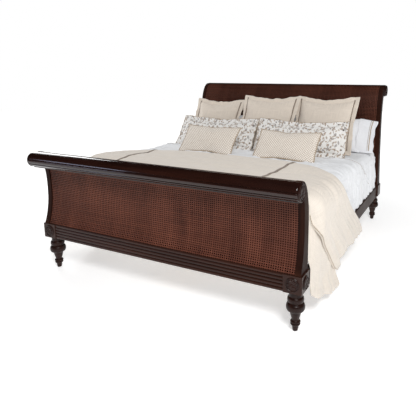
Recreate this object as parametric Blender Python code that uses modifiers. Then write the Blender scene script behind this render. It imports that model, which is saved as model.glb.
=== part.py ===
"""King-size sleigh bed with cane panels, turned legs and dressed bedding.

Metres, +Z up. X runs across the bed, the foot is towards -Y and the head towards +Y.
The origin is on the floor, midway between the four legs.
"""
import math

import bmesh
import bpy
from mathutils import Matrix, Vector

# Driving dimensions
GAP = 0.0003                  # clearance between pieces that touch
LEG_X = 1.00                  # leg centres, across
LEG_Y = 1.13                  # leg centres, along
BLOCK_HALF_X = 0.060
BLOCK_HALF_Y = 0.063
BLOCK_BOTTOM = 0.262
BLOCK_TOP = 0.375
FOOT_TOP = 0.940              # top of the footboard roll
HEAD_TOP = 1.390              # top of the headboard roll
ROLL_RADIUS = 0.058
FOOT_ROLL_FORWARD = 0.098     # roll centre, outward from the leg centre
HEAD_ROLL_FORWARD = 0.117
ROLL_HALF_LENGTH = 1.057
POST_OUTER_X = 1.050
POST_THICKNESS = 0.040
POST_DEPTH_IN = 0.063         # straight bed-side face, from the leg centre
LEDGE_IN = 0.058              # bed-side edge of the ledge behind each lower rail, from the leg centre
LEDGE_HEIGHT = 0.020
POST_DEPTH_OUT = 0.058        # flared outer face at the block, from the leg centre
RAIL_OUTER_X = 1.045
RAIL_THICKNESS = 0.028
RAIL_BOTTOM = 0.253
RAIL_TOP = 0.362
SLAT_TOP = 0.318
MATTRESS_HALF_X = 0.965
MATTRESS_FOOT_Y = -0.985
MATTRESS_HEAD_Y = 1.045
BOX_SPRING_TOP = 0.430
MATTRESS_TOP = 0.745
PANEL_HALF_X = POST_OUTER_X - POST_THICKNESS - GAP
BLOCK_INNER_X = LEG_X - BLOCK_HALF_X - GAP
CREST_BOTTOM_DROP = 0.144     # crest rail's lower edge, below the top of the roll

SIDES = (("left", -1), ("right", 1))


# Scene, materials and object helpers
def clear_scene():
    for existing in list(bpy.context.scene.objects):
        bpy.data.objects.remove(existing, do_unlink=True)


def new_collection(name):
    collection = bpy.data.collections.new(name)
    bpy.context.scene.collection.children.link(collection)
    return collection


def new_material(name, color, roughness, metallic=0.0):
    material = bpy.data.materials.new(name)
    material.use_nodes = True
    shader = material.node_tree.nodes["Principled BSDF"]
    shader.inputs["Base Color"].default_value = (*color, 1.0)
    shader.inputs["Roughness"].default_value = roughness
    shader.inputs["Metallic"].default_value = metallic
    return material


clear_scene()
BED = new_collection("sleigh_bed")
CUTTERS = new_collection("cutters")
WOOD = (0.045, 0.018, 0.012)
CANE = (0.16, 0.055, 0.030)
STEEL = (0.45, 0.45, 0.46)
PINE = (0.55, 0.42, 0.28)
TICKING = (0.78, 0.78, 0.76)
WHITE_LINEN = (0.82, 0.83, 0.85)
CREAM = (0.74, 0.68, 0.58)
BEIGE = (0.60, 0.53, 0.45)
FLORAL = (0.76, 0.73, 0.70)
LATTICE = (0.66, 0.59, 0.50)


def finish(obj, color, roughness=0.5, metallic=0.0, smooth=True):
    """Name the material after the object, shade it and put it in the bed's collection."""
    obj.data.materials.append(new_material(obj.name, color, roughness, metallic))
    if smooth and obj.type == "MESH":
        obj.data.shade_smooth()
        obj.data.set_sharp_from_angle(angle=math.radians(35))
    BED.objects.link(obj)
    return obj


def mesh_object(name, build):
    """Make an object from a bmesh that build(bm) fills."""
    bm = bmesh.new()
    build(bm)
    bmesh.ops.recalc_face_normals(bm, faces=bm.faces)
    mesh = bpy.data.meshes.new(name)
    bm.to_mesh(mesh)
    bm.free()
    return bpy.data.objects.new(name, mesh)


def box_from(name, low, high, bevel=0.0):
    """Axis-aligned box between two corners, with an optional rounded edge."""
    low, high = Vector(low), Vector(high)

    def build(bm):
        bmesh.ops.create_cube(bm, size=1.0)
        bmesh.ops.scale(bm, vec=high - low, verts=bm.verts)

    obj = mesh_object(name, build)
    obj.location = (low + high) / 2
    if bevel:
        modifier = obj.modifiers.new("rounded_edges", "BEVEL")
        modifier.width = bevel
        modifier.segments = 2
    return obj


# Outline helpers: a point is (outward-to-inward depth, height)
def bezier(start, handle_a, handle_b, end, count):
    """Points on a cubic curve, both ends included."""
    points = []
    for step in range(count + 1):
        t = step / count
        a, b, c, d = (1 - t) ** 3, 3 * t * (1 - t) ** 2, 3 * t * t * (1 - t), t ** 3
        points.append(tuple(a * p + b * q + c * r + d * s
                            for p, q, r, s in zip(start, handle_a, handle_b, end)))
    return points


def arc(centre, radius, start_deg, end_deg, count):
    """Points on a circle, both ends included."""
    points = []
    for step in range(count + 1):
        angle = math.radians(start_deg + (end_deg - start_deg) * step / count)
        points.append((centre[0] + radius * math.cos(angle), centre[1] + radius * math.sin(angle)))
    return points


def offset(points, distance):
    """The same line moved to its left by a distance, along its own normals."""
    moved = []
    for index, point in enumerate(points):
        before = Vector(points[max(index - 1, 0)])
        after = Vector(points[min(index + 1, len(points) - 1)])
        along = (after - before).normalized()
        moved.append((point[0] - along.y * distance, point[1] + along.x * distance))
    return moved


def clip_height(points, low, high):
    """The part of a rising line between two heights, with its ends exactly on them."""
    kept = []
    for start, end in zip(points, points[1:]):
        if end[1] <= low or start[1] >= high:
            continue
        for limit_point in (start, end):
            height = min(max(limit_point[1], low), high)
            share = (height - start[1]) / (end[1] - start[1])
            point = (start[0] + (end[0] - start[0]) * share, height)
            if not kept or (Vector(point) - Vector(kept[-1])).length > 0.0005:
                kept.append(point)
    return kept


def extrude_across(name, outline, x_low, x_high, board_y, mirror):
    """Extrude a (depth, height) outline along X. Mirror flips the depth for the headboard."""
    curve = bpy.data.curves.new(name, "CURVE")
    curve.dimensions = "2D"
    curve.fill_mode = "BOTH"
    curve.extrude = (x_high - x_low) / 2
    spline = curve.splines.new("POLY")
    spline.points.add(len(outline) - 1)
    for point, (depth, height) in zip(spline.points, outline):
        point.co = (-depth if mirror else depth, height, 0, 1)
    spline.use_cyclic_u = True
    obj = bpy.data.objects.new(name, curve)
    obj.location = ((x_low + x_high) / 2, board_y, 0)
    obj.rotation_euler = (math.pi / 2, 0, math.pi / 2)
    return obj


# The sleigh curve: depth 0 is the leg centre, negative is away from the bed
class Board:
    """One end of the bed: its height, place and the two curves of its side view."""

    def __init__(self, name, top, board_y, mirror, roll_forward, waist_depth, waist_height):
        self.name = name
        self.top = top
        self.y = board_y
        self.mirror = mirror
        self.roll_centre = (-roll_forward, top - ROLL_RADIUS)
        seat = ROLL_RADIUS + GAP
        self.roll_seat = arc(self.roll_centre, seat, -40, 62, 12)
        foot = (-POST_DEPTH_OUT, BLOCK_TOP + GAP)
        waist = (waist_depth, waist_height)
        rise = waist_height - foot[1]
        neck = self.roll_seat[0]
        fall = neck[1] - waist_height
        lower = bezier(foot, (foot[0] + 0.030, foot[1] + rise * 0.25),
                       (waist[0], waist[1] - rise * 0.36), waist, 8)
        upper = bezier(waist, (waist[0], waist[1] + fall * 0.60),
                       (neck[0] + 0.040, neck[1] - 0.012), neck, 9)
        self.outer_curve = lower + upper[1:]
        lip = (self.roll_seat[-1][0] + 0.0045, self.roll_seat[-1][1] + 0.0050)
        shoulder = (POST_DEPTH_IN, top - 0.284)
        bend = bezier(shoulder, (shoulder[0], shoulder[1] + 0.130),
                      (lip[0] + 0.100, lip[1]), lip, 12)
        self.inner_curve = [(POST_DEPTH_IN, BLOCK_TOP + GAP)] + bend
        self.crest_bottom = top - CREST_BOTTOM_DROP

    def post_outline(self):
        return self.outer_curve + self.roll_seat[1:] + list(reversed(self.inner_curve))

    def crest_outline(self, inset):
        """The crest rail between the posts, its bed-side face set in by an inset."""
        height = self.crest_bottom + GAP
        outer = clip_height(self.outer_curve, height, self.top)
        inner = clip_height(offset(self.inner_curve, inset), height, self.top)
        return outer + self.roll_seat[1:] + list(reversed(inner))

    def outer_skin(self, inset, thickness):
        """A panel that follows the hollow outer curve, up to the crest rail."""
        low, high = BLOCK_TOP + GAP, self.crest_bottom
        face = clip_height(offset(self.outer_curve, -inset), low, high)
        back = clip_height(offset(self.outer_curve, -inset - thickness), low, high)
        return face + list(reversed(back))

    def inner_skin(self, inset, thickness, over_crest):
        """A panel on the bed side. It may run on over the crest rail to the roll."""
        low = BLOCK_TOP + GAP
        high = self.top if over_crest else self.crest_bottom
        face = clip_height(offset(self.inner_curve, inset), low, high)
        back = clip_height(offset(self.inner_curve, inset + thickness), low, high)
        return face + list(reversed(back))


FOOT = Board("foot", FOOT_TOP, -LEG_Y, False, FOOT_ROLL_FORWARD, -0.009, 0.630)
HEAD = Board("head", HEAD_TOP, LEG_Y, True, HEAD_ROLL_FORWARD, -0.004, 1.020)


# Turned leg
def leg_profile():
    """Radius and height from the top centre down to the floor centre."""
    def bead(high, low, neck, swell, count=6):
        middle, half = (high + low) / 2, (high - low) / 2
        return [(neck + (swell - neck) * math.cos(angle), middle + half * math.sin(angle))
                for angle in (math.radians(90 - 180 * step / count) for step in range(count + 1))]

    top = BLOCK_BOTTOM - GAP
    profile = [(0.0, top), (0.044, top), (0.041, 0.250), (0.041, 0.226)]
    profile += bead(0.222, 0.186, 0.044, 0.052)
    profile += bead(0.184, 0.130, 0.044, 0.0595)
    profile += [(0.036, 0.126), (0.034, 0.112), (0.026, 0.084), (0.022, 0.072)]
    profile += bead(0.068, 0.053, 0.026, 0.0325, 4)
    profile += bead(0.052, 0.038, 0.025, 0.0315, 4)
    profile += [(0.021, 0.036), (0.0175, 0.006), (0.0155, 0.0), (0.0, 0.0)]
    return profile


def turned(name, profile, steps):
    """Spin a profile around Z."""
    mesh = bpy.data.meshes.new(name)
    vertices = [(radius, 0, height) for radius, height in profile]
    mesh.from_pydata(vertices, [(i, i + 1) for i in range(len(vertices) - 1)], [])
    obj = bpy.data.objects.new(name, mesh)
    spin = obj.modifiers.new("spin", "SCREW")
    spin.steps = steps
    spin.render_steps = steps
    spin.use_merge_vertices = True
    spin.merge_threshold = 0.00001
    return obj


def rosette(name, radius, thickness, centre, outward):
    """Turned disc with a raised rim, a dished flower field and a centre boss."""
    profile = [(0.0, thickness), (radius * 0.20, thickness * 0.95), (radius * 0.28, thickness * 0.62),
               (radius * 0.58, thickness * 0.82), (radius * 0.80, thickness * 0.55),
               (radius * 0.86, thickness), (radius * 0.96, thickness), (radius, thickness * 0.6),
               (radius, 0.0), (0.0, 0.0)]
    obj = turned(name, profile, 24)
    obj.rotation_euler = Vector(outward).to_track_quat("Z", "Y").to_euler()
    obj.location = centre
    return finish(obj, WOOD, 0.3)


# Footboard and headboard
def build_posts(board):
    for side, sign in SIDES:
        far, near = sign * POST_OUTER_X, sign * (POST_OUTER_X - POST_THICKNESS)
        post = extrude_across(f"{board.name}_post_{side}", board.post_outline(),
                              min(far, near), max(far, near), board.y, board.mirror)
        finish(post, WOOD, 0.25)


def build_blocks_and_legs(board):
    for side, sign in SIDES:
        x = sign * LEG_X
        block = box_from(f"{board.name}_block_{side}",
                         (x - BLOCK_HALF_X, board.y - BLOCK_HALF_Y, BLOCK_BOTTOM),
                         (x + BLOCK_HALF_X, board.y + BLOCK_HALF_Y, BLOCK_TOP), 0.002)
        finish(block, WOOD, 0.25)
        leg = turned(f"{board.name}_leg_{side}", leg_profile(), 20)
        leg.location = (x, board.y, 0)
        finish(leg, WOOD, 0.25)


def build_roll(board):
    sign = -1 if board.mirror else 1
    roll_y = board.y + sign * board.roll_centre[0]
    roll_z = board.roll_centre[1]

    def build(bm):
        bmesh.ops.create_cone(bm, cap_ends=True, segments=32, radius1=ROLL_RADIUS,
                              radius2=ROLL_RADIUS, depth=2 * ROLL_HALF_LENGTH)
        bmesh.ops.rotate(bm, matrix=Matrix.Rotation(math.pi / 2, 3, "Y"), verts=bm.verts)

    roll = mesh_object(f"{board.name}_roll", build)
    roll.location = (0, roll_y, roll_z)
    finish(roll, WOOD, 0.2)
    for side, x_sign in SIDES:
        rosette(f"{board.name}_roll_rosette_{side}", 0.053, 0.010,
                (x_sign * (ROLL_HALF_LENGTH + GAP), roll_y, roll_z), (x_sign, 0, 0))


def build_bead(board):
    """Thin moulding that hangs under the front of the footboard roll."""
    radius = 0.009
    reach = ROLL_RADIUS + radius + GAP
    angle = math.radians(-62)
    y = board.y + board.roll_centre[0] + reach * math.cos(angle)
    z = board.roll_centre[1] + reach * math.sin(angle)

    def build(bm):
        bmesh.ops.create_cone(bm, cap_ends=True, segments=12, radius1=radius, radius2=radius,
                              depth=2 * PANEL_HALF_X)
        bmesh.ops.rotate(bm, matrix=Matrix.Rotation(math.pi / 2, 3, "Y"), verts=bm.verts)

    bead = mesh_object(f"{board.name}_bead", build)
    bead.location = (0, y, z)
    finish(bead, WOOD, 0.2)


def build_reeded_rail():
    """Bottom rail of the footboard: five half-round reeds on its face, a ledge under the panels behind."""
    face, back = -0.052, -0.010
    reeds, radius_out = 5, 0.007
    pitch = (BLOCK_TOP - BLOCK_BOTTOM) / reeds
    outline = []
    for reed in range(reeds):
        low = BLOCK_BOTTOM + pitch * reed
        for step in range(6):
            angle = math.pi * step / 6
            outline.append((face - radius_out * math.sin(angle), low + pitch * (1 - math.cos(angle)) / 2))
    outline += [(face, BLOCK_TOP), (LEDGE_IN, BLOCK_TOP), (LEDGE_IN, BLOCK_TOP - LEDGE_HEIGHT),
                (back, BLOCK_TOP - LEDGE_HEIGHT), (back, BLOCK_BOTTOM)]
    rail = extrude_across("foot_reeded_rail", outline, -BLOCK_INNER_X, BLOCK_INNER_X, FOOT.y, False)
    finish(rail, WOOD, 0.25)


def build_footboard():
    build_posts(FOOT)
    build_blocks_and_legs(FOOT)
    build_roll(FOOT)
    build_bead(FOOT)
    build_reeded_rail()
    pieces = (("foot_crest_rail", FOOT.crest_outline(0.002), WOOD),
              ("foot_cane_panel", FOOT.outer_skin(0.006, 0.004), CANE),
              ("foot_back_panel", FOOT.inner_skin(0.002, 0.008, False), WOOD))
    for name, outline, color in pieces:
        finish(extrude_across(name, outline, -PANEL_HALF_X, PANEL_HALF_X, FOOT.y, False), color, 0.35)
    for side, sign in SIDES:
        centre_z = (BLOCK_BOTTOM + BLOCK_TOP) / 2
        rosette(f"foot_block_rosette_{side}", 0.044, 0.007,
                (sign * LEG_X, FOOT.y - BLOCK_HALF_Y - GAP, centre_z), (0, -1, 0))
        rosette(f"foot_side_rosette_{side}", 0.044, 0.007,
                (sign * (LEG_X + BLOCK_HALF_X + GAP), FOOT.y, centre_z), (sign, 0, 0))


def build_headboard():
    build_posts(HEAD)
    build_blocks_and_legs(HEAD)
    build_roll(HEAD)
    cane_thickness = 0.004
    pieces = (("head_crest_rail", HEAD.crest_outline(0.0015 + cane_thickness + GAP), WOOD),
              ("head_cane_panel", HEAD.inner_skin(0.001, cane_thickness, True), CANE),
              ("head_back_panel", HEAD.outer_skin(0.004, 0.008), WOOD))
    for name, outline, color in pieces:
        finish(extrude_across(name, outline, -PANEL_HALF_X, PANEL_HALF_X, HEAD.y, True), color, 0.35)
    outer, back = -0.055, -0.010
    outline = [(outer, BLOCK_BOTTOM), (outer, BLOCK_TOP), (LEDGE_IN, BLOCK_TOP),
               (LEDGE_IN, BLOCK_TOP - LEDGE_HEIGHT), (back, BLOCK_TOP - LEDGE_HEIGHT), (back, BLOCK_BOTTOM)]
    rail = extrude_across("head_lower_rail", outline, -BLOCK_INNER_X, BLOCK_INNER_X, HEAD.y, True)
    finish(rail, WOOD, 0.3)


# Side rails, slats and the rest of the bed's base
def build_base():
    rail_end = LEG_Y - BLOCK_HALF_Y - GAP
    rail_inner = RAIL_OUTER_X - RAIL_THICKNESS
    cleat_width, cleat_top = 0.030, SLAT_TOP - 0.020 - GAP
    for side, sign in SIDES:
        edges = sorted((sign * RAIL_OUTER_X, sign * rail_inner))
        rail = box_from(f"side_rail_{side}", (edges[0], -rail_end, RAIL_BOTTOM),
                        (edges[1], rail_end, RAIL_TOP), 0.003)
        finish(rail, WOOD, 0.2)
        edges = sorted((sign * (rail_inner - GAP), sign * (rail_inner - GAP - cleat_width)))
        cleat = box_from(f"slat_cleat_{side}", (edges[0], -1.0, RAIL_BOTTOM + 0.007),
                         (edges[1], 1.0, cleat_top))
        finish(cleat, PINE, 0.7)
        for end, end_sign in (("foot", -1), ("head", 1)):
            build_bracket(f"{end}_rail_bracket_{side}", sign, end_sign, rail_inner, rail_end)
    slat_count, slat_width, spacing = 4, 0.090, 0.50
    for index in range(slat_count):
        y = (index - (slat_count - 1) / 2) * spacing
        slat = box_from(f"slat_{index + 1}", (-rail_inner + 0.006, y - slat_width / 2, SLAT_TOP - 0.020),
                        (rail_inner - 0.006, y + slat_width / 2, SLAT_TOP))
        finish(slat, PINE, 0.7)
    beam_bottom, beam_half = 0.236, 0.035
    beam_end = LEG_Y + 0.010 - GAP
    beam = box_from("centre_beam", (-beam_half, -beam_end, beam_bottom), (beam_half, beam_end, cleat_top))
    finish(beam, PINE, 0.7)
    leg_half = 0.025
    for name, y in (("centre_leg_foot", -0.40), ("centre_leg_head", 0.40)):
        leg = box_from(name, (-leg_half, y - leg_half, 0), (leg_half, y + leg_half, beam_bottom - GAP), 0.003)
        finish(leg, WOOD, 0.4)


def build_bracket(name, sign, end_sign, rail_inner, rail_end):
    """Steel angle that hooks the side rail to the corner block."""
    steel, leg_length = 0.003, 0.065
    low, high = SLAT_TOP - 0.012, RAIL_TOP - 0.006
    x_face = rail_inner - GAP
    y_face = rail_end - GAP
    outline = [(0, 0), (-leg_length, 0), (-leg_length, -steel), (-steel, -steel),
               (-steel, -leg_length), (0, -leg_length)]
    curve = bpy.data.curves.new(name, "CURVE")
    curve.dimensions = "2D"
    curve.fill_mode = "BOTH"
    curve.extrude = (high - low) / 2
    spline = curve.splines.new("POLY")
    spline.points.add(len(outline) - 1)
    for point, (x, y) in zip(spline.points, outline):
        point.co = (x * sign, y * end_sign, 0, 1)
    spline.use_cyclic_u = True
    bracket = bpy.data.objects.new(name, curve)
    bracket.location = (sign * x_face, end_sign * y_face, (low + high) / 2)
    finish(bracket, STEEL, 0.4, 1.0)


# Mattress and bedding
SHEET_THICKNESS = 0.002
SHEET_OVERLAP = 0.058         # how far the fitted sheet reaches below the box spring's top
QUILT_BOTTOM = MATTRESS_TOP + SHEET_THICKNESS + 2 * GAP
QUILT_TOP = QUILT_BOTTOM + 0.020
DUVET_BOTTOM = QUILT_TOP + 0.001
DUVET_TOP = 0.830
DUVET_HEAD_Y = -0.105


def build_mattress():
    base = box_from("box_spring", (-MATTRESS_HALF_X + 0.005, MATTRESS_FOOT_Y, SLAT_TOP + GAP),
                    (MATTRESS_HALF_X - 0.005, MATTRESS_HEAD_Y, BOX_SPRING_TOP), 0.015)
    finish(base, TICKING, 0.9)
    mattress = box_from("mattress", (-MATTRESS_HALF_X, MATTRESS_FOOT_Y, BOX_SPRING_TOP + GAP),
                        (MATTRESS_HALF_X, MATTRESS_HEAD_Y, MATTRESS_TOP), 0.035)
    finish(mattress, TICKING, 0.9)


def build_fitted_sheet():
    """Thin cover over the mattress and down past the box spring's top edge, open underneath."""
    low = Vector((-MATTRESS_HALF_X - GAP, MATTRESS_FOOT_Y - GAP, BOX_SPRING_TOP - SHEET_OVERLAP))
    high = Vector((MATTRESS_HALF_X + GAP, MATTRESS_HEAD_Y + GAP, MATTRESS_TOP + GAP))

    def build(bm):
        bmesh.ops.create_cube(bm, size=1.0)
        bmesh.ops.scale(bm, vec=high - low, verts=bm.verts)
        bottom = [face for face in bm.faces if face.normal.z < -0.5]
        bmesh.ops.delete(bm, geom=bottom, context="FACES_ONLY")

    sheet = mesh_object("fitted_sheet", build)
    sheet.location = (low + high) / 2
    shell = sheet.modifiers.new("cloth_thickness", "SOLIDIFY")
    shell.thickness = SHEET_THICKNESS
    shell.offset = 1.0
    finish(sheet, WHITE_LINEN, 0.9, smooth=False)


def join_solids(target, others):
    """Union other solids into a target and remove them."""
    for other in others:
        union = target.modifiers.new("joined", "BOOLEAN")
        union.operation = "UNION"
        union.object = other
        other.hide_render = True
        other.display_type = "WIRE"
        CUTTERS.objects.link(other)


def build_quilt():
    """White quilt: a thin slab over the mattress, with sides that hang loose to the rails and to the head."""
    head_y = 0.330
    side_inner, side_outer = MATTRESS_HALF_X + 0.005, MATTRESS_HALF_X + 0.051
    foot_y = MATTRESS_FOOT_Y - 0.012
    quilt = box_from("quilt", (-side_outer, foot_y, QUILT_BOTTOM), (side_outer, head_y, QUILT_TOP))
    flap_outline = [(foot_y, QUILT_TOP - 0.002), (head_y - 0.002, QUILT_TOP - 0.002),
                    (head_y + 0.030, MATTRESS_TOP + 0.003), (MATTRESS_HEAD_Y - 0.015, MATTRESS_TOP + 0.003),
                    (MATTRESS_HEAD_Y - 0.015, 0.368), (foot_y, 0.368)]
    flaps = []
    for side, sign in SIDES:
        edges = sorted((sign * side_inner, sign * (side_outer - 0.001)))
        flaps.append(extrude_across(f"quilt_flap_{side}", flap_outline, edges[0], edges[1], 0, False))
    join_solids(quilt, [solid_from_curve(flap) for flap in flaps])
    finish(quilt, WHITE_LINEN, 0.9, smooth=False)


def build_duvet():
    """Thick duvet: top, two hanging sides with a low corner, and a fold behind the footboard."""
    foot_y = FOOT.y + POST_DEPTH_IN + 0.012
    inner_x, outer_x = RAIL_OUTER_X + 0.012, RAIL_OUTER_X + 0.070
    duvet = box_from("duvet", (-outer_x, foot_y, DUVET_BOTTOM), (outer_x, DUVET_HEAD_Y, DUVET_TOP), 0.02)
    lip = 0.010
    hang = [(foot_y + lip, DUVET_BOTTOM + 0.03), (DUVET_HEAD_Y - lip, DUVET_BOTTOM + 0.03),
            (-0.110, 0.600), (0.040, 0.360), (0.225, 0.185), (-0.470, 0.195),
            (-0.510, 0.050), (-0.710, 0.045), (foot_y + lip, 0.200)]
    parts = []
    for side, sign in SIDES:
        edges = sorted((sign * inner_x, sign * (outer_x - 0.004)))
        parts.append(solid_from_curve(
            extrude_across(f"duvet_side_{side}", hang, edges[0], edges[1], 0, False)))
    parts.append(box_from("duvet_foot_fold", (-MATTRESS_HALF_X + 0.02, foot_y + 0.004, 0.520),
                          (MATTRESS_HALF_X - 0.02, MATTRESS_FOOT_Y - 0.014, DUVET_BOTTOM + 0.03)))
    join_solids(duvet, parts)
    finish(duvet, CREAM, 0.9, smooth=False)


def solid_from_curve(obj):
    """Turn a filled curve into a closed mesh, so that a Boolean can use it."""
    scratch = bpy.context.scene.collection
    scratch.objects.link(obj)
    bpy.context.view_layer.update()
    evaluated = obj.evaluated_get(bpy.context.evaluated_depsgraph_get())
    mesh = bpy.data.meshes.new_from_object(evaluated)
    bm = bmesh.new()
    bm.from_mesh(mesh)
    bmesh.ops.remove_doubles(bm, verts=bm.verts, dist=0.00001)
    bmesh.ops.recalc_face_normals(bm, faces=bm.faces)
    bm.to_mesh(mesh)
    bm.free()
    solid = bpy.data.objects.new(obj.name, mesh)
    solid.matrix_world = obj.matrix_world.copy()
    bpy.data.objects.remove(obj, do_unlink=True)
    solid.name = mesh.name
    return solid


# Pillows
LEAN = math.radians(30)        # lean of the shams and the sleeping pillows
SLUMPED_LEAN = math.radians(35)
LUMBAR_LEAN = math.radians(42)


def pillow(name, size, base, lean, color):
    """Crowned pillow standing on its lower edge at base and leaning towards the head."""
    width, height, thickness = size
    rim = 0.007
    cuts = 5

    def build(bm):
        bmesh.ops.create_cube(bm, size=2.0)
        flat_edges = [edge for edge in bm.edges
                      if abs(edge.verts[0].co.y - edge.verts[1].co.y) < 0.1]
        bmesh.ops.subdivide_edges(bm, edges=flat_edges, cuts=cuts, use_grid_fill=True)
        for vertex in bm.verts:
            x, y, z = vertex.co
            inside_x = max(0.0, 1 - abs(x) ** 3)
            inside_z = max(0.0, 1 - abs(z) ** 3)
            crown = (inside_x * inside_z) ** 0.55
            in_x = 1 - 0.05 * (1 - z * z)
            in_z = 1 - 0.07 * (1 - x * x)
            half = (rim + (thickness - rim) * crown) / 2
            vertex.co = (x * width / 2 * in_x, y * half, z * height / 2 * in_z)

    obj = mesh_object(name, build)
    middle = Vector((0, math.sin(lean), math.cos(lean))) * height / 2
    obj.location = Vector(base) + middle
    obj.rotation_euler = (-lean, 0, 0)
    return finish(obj, color, 0.9)


def build_pillows():
    rest_z = MATTRESS_TOP + 0.009
    quilt_z = QUILT_TOP + 0.007
    for side, sign in SIDES:
        pillow(f"white_pillow_{side}", (0.92, 0.37, 0.125),
               (sign * 0.590, 0.770, rest_z), LEAN, WHITE_LINEN)
    for name, x, y, size in (("left", -0.645, 0.575, (0.61, 0.560, 0.145)),
                             ("middle", -0.030, 0.545, (0.65, 0.620, 0.145)),
                             ("right", 0.560, 0.590, (0.65, 0.620, 0.145))):
        pillow(f"euro_sham_{name}", size, (x, y, rest_z), LEAN, BEIGE)
    for name, x, width, lean in (("left", -0.497, 0.90, SLUMPED_LEAN), ("right", 0.420, 0.92, LEAN)):
        pillow(f"floral_sham_{name}", (width, 0.375, 0.140), (x, 0.365, rest_z), lean, FLORAL)
    for name, x in (("left", -0.365), ("right", 0.425)):
        pillow(f"lumbar_pillow_{name}", (0.57, 0.310, 0.115),
               (x, 0.020, quilt_z), LUMBAR_LEAN, LATTICE)


build_footboard()
build_headboard()
build_base()
build_mattress()
build_fitted_sheet()
build_quilt()
build_duvet()
build_pillows()
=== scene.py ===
"""Looks of the sleigh bed: lacquered wood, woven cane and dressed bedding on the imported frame.

Metres, +Z up. X runs across the bed, the foot is towards -Y and the head towards +Y.
"""
from math import copysign, cos, pi, prod, radians, sin

import bpy
import numpy as np
from mathutils import Matrix, Vector, noise
from mathutils.bvhtree import BVHTree


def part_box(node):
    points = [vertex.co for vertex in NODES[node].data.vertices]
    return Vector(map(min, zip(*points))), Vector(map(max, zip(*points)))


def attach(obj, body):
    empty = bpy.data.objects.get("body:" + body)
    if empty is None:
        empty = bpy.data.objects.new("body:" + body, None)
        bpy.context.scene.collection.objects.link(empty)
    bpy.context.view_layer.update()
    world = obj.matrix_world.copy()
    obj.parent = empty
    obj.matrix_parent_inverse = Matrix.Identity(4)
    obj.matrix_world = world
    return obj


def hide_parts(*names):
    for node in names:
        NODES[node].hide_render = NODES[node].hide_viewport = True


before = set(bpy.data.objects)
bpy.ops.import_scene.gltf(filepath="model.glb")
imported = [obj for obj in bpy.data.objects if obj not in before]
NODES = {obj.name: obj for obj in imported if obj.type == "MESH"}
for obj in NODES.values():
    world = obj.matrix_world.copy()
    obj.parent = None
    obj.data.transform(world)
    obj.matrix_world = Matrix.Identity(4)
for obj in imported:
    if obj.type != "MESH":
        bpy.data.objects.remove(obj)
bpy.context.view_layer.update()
SCENE = bpy.context.scene
SIDES = (("left", -1), ("right", 1))
ENDS = ("foot", "head")
TURN = 2 * pi


# ---------------------------------------------------------------- materials
class Shader:
    """A node material: its Principled shader, and short calls for the nodes that feed it."""

    def __init__(self, name, **constants):
        self.material = bpy.data.materials.new(name)
        self.material.use_nodes = True
        self.tree = self.material.node_tree
        self.principled = self.tree.nodes["Principled BSDF"]
        for socket, value in constants.items():
            self.principled.inputs[socket.replace("_", " ")].default_value = value

    def node(self, kind, inputs, **settings):
        made = self.tree.nodes.new("ShaderNode" + kind)
        for key, value in settings.items():
            setattr(made, key, value)
        for socket, value in inputs.items():
            self.feed(made.inputs[socket], value)
        return made

    def feed(self, socket, value):
        if isinstance(value, bpy.types.NodeSocket):
            self.tree.links.new(value, socket)
        else:
            socket.default_value = value

    def place(self, source="Object", scale=(1, 1, 1), turn=0.0):
        place = self.node("TexCoord", {}).outputs[source]
        return self.node("Mapping", {"Vector": place, "Scale": scale, "Rotation": (0, 0, turn)}).outputs[0]

    def uv(self, u, v, turn=0.0):
        return self.place("UV", (u, v, 1), turn)

    def noise(self, vector, scale=1.0, detail=2.0, roughness=0.5):
        return self.node("TexNoise", {"Vector": vector, "Scale": scale, "Detail": detail,
                                      "Roughness": roughness}).outputs[0]

    def cells(self, place):
        return self.node("TexVoronoi", {"Vector": place, "Scale": 1.0}, voronoi_dimensions="2D").outputs

    def math(self, operation, *values):
        return self.node("Math", dict(enumerate(values)), operation=operation).outputs[0]

    def times(self, a, b):
        return self.math("MULTIPLY", a, b)

    def plus(self, a, b):
        return self.math("ADD", a, b)

    def span(self, value, low, high, to_low=0.0, to_high=1.0):
        return self.node("MapRange", dict(enumerate((value, low, high, to_low, to_high)))).outputs[0]

    def mix(self, factor, a, b):
        a, b = ((*c, 1.0) if isinstance(c, tuple) else c for c in (a, b))
        return self.node("Mix", {0: factor, 6: a, 7: b}, data_type="RGBA").outputs[2]

    def axes(self, vector):
        return self.node("SeparateXYZ", {0: vector}).outputs

    def relief(self, height, distance, strength=1.0, under=None):
        inputs = {"Strength": strength, "Distance": distance, "Height": height}
        return self.node("Bump", inputs | ({} if under is None else {"Normal": under})).outputs[0]

    def finish(self, color, roughness, normal=None):
        for socket, value in (("Base Color", color), ("Roughness", roughness), ("Normal", normal)):
            if value is not None:
                self.feed(self.principled.inputs[socket], value)
        return self.material


def along_grain(axis, long, short):
    return [long if axis == name else short for name in "xyz"]


def lacquer(name, axis, gloss=0.18, coat=0.05, dark=(0.0095, 0.0036, 0.0027), light=(0.031, 0.0105, 0.0064)):
    """Brown-black lacquer over straight grain that runs along one axis, rubbed redder on its edges."""
    s = Shader(name, Specular_IOR_Level=gloss, Coat_Weight=coat, Coat_Roughness=0.06)
    grain = s.noise(s.place("Object", along_grain(axis, 1.3, 26)), 1.0, 6.0, 0.62)
    pores = s.noise(s.place("Object", along_grain(axis, 11.7, 234)))
    cloud = s.noise(s.place(), 3.0, 3.0)
    color = s.mix(s.span(grain, 0.34, 0.68), dark, light)
    color = s.mix(s.span(cloud, 0.35, 0.75, 0.0, 0.55), color, (0.018, 0.0068, 0.0052))
    worn = s.span(s.node("NewGeometry", {}).outputs["Pointiness"], 0.53, 0.62, 0.0, 0.75)
    color = s.mix(worn, color, (0.085, 0.030, 0.016))
    return s.finish(color, s.span(cloud, 0.3, 0.7, 0.46 - gloss, 0.56 - gloss), s.relief(pores, 0.0002, 0.35))


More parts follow.
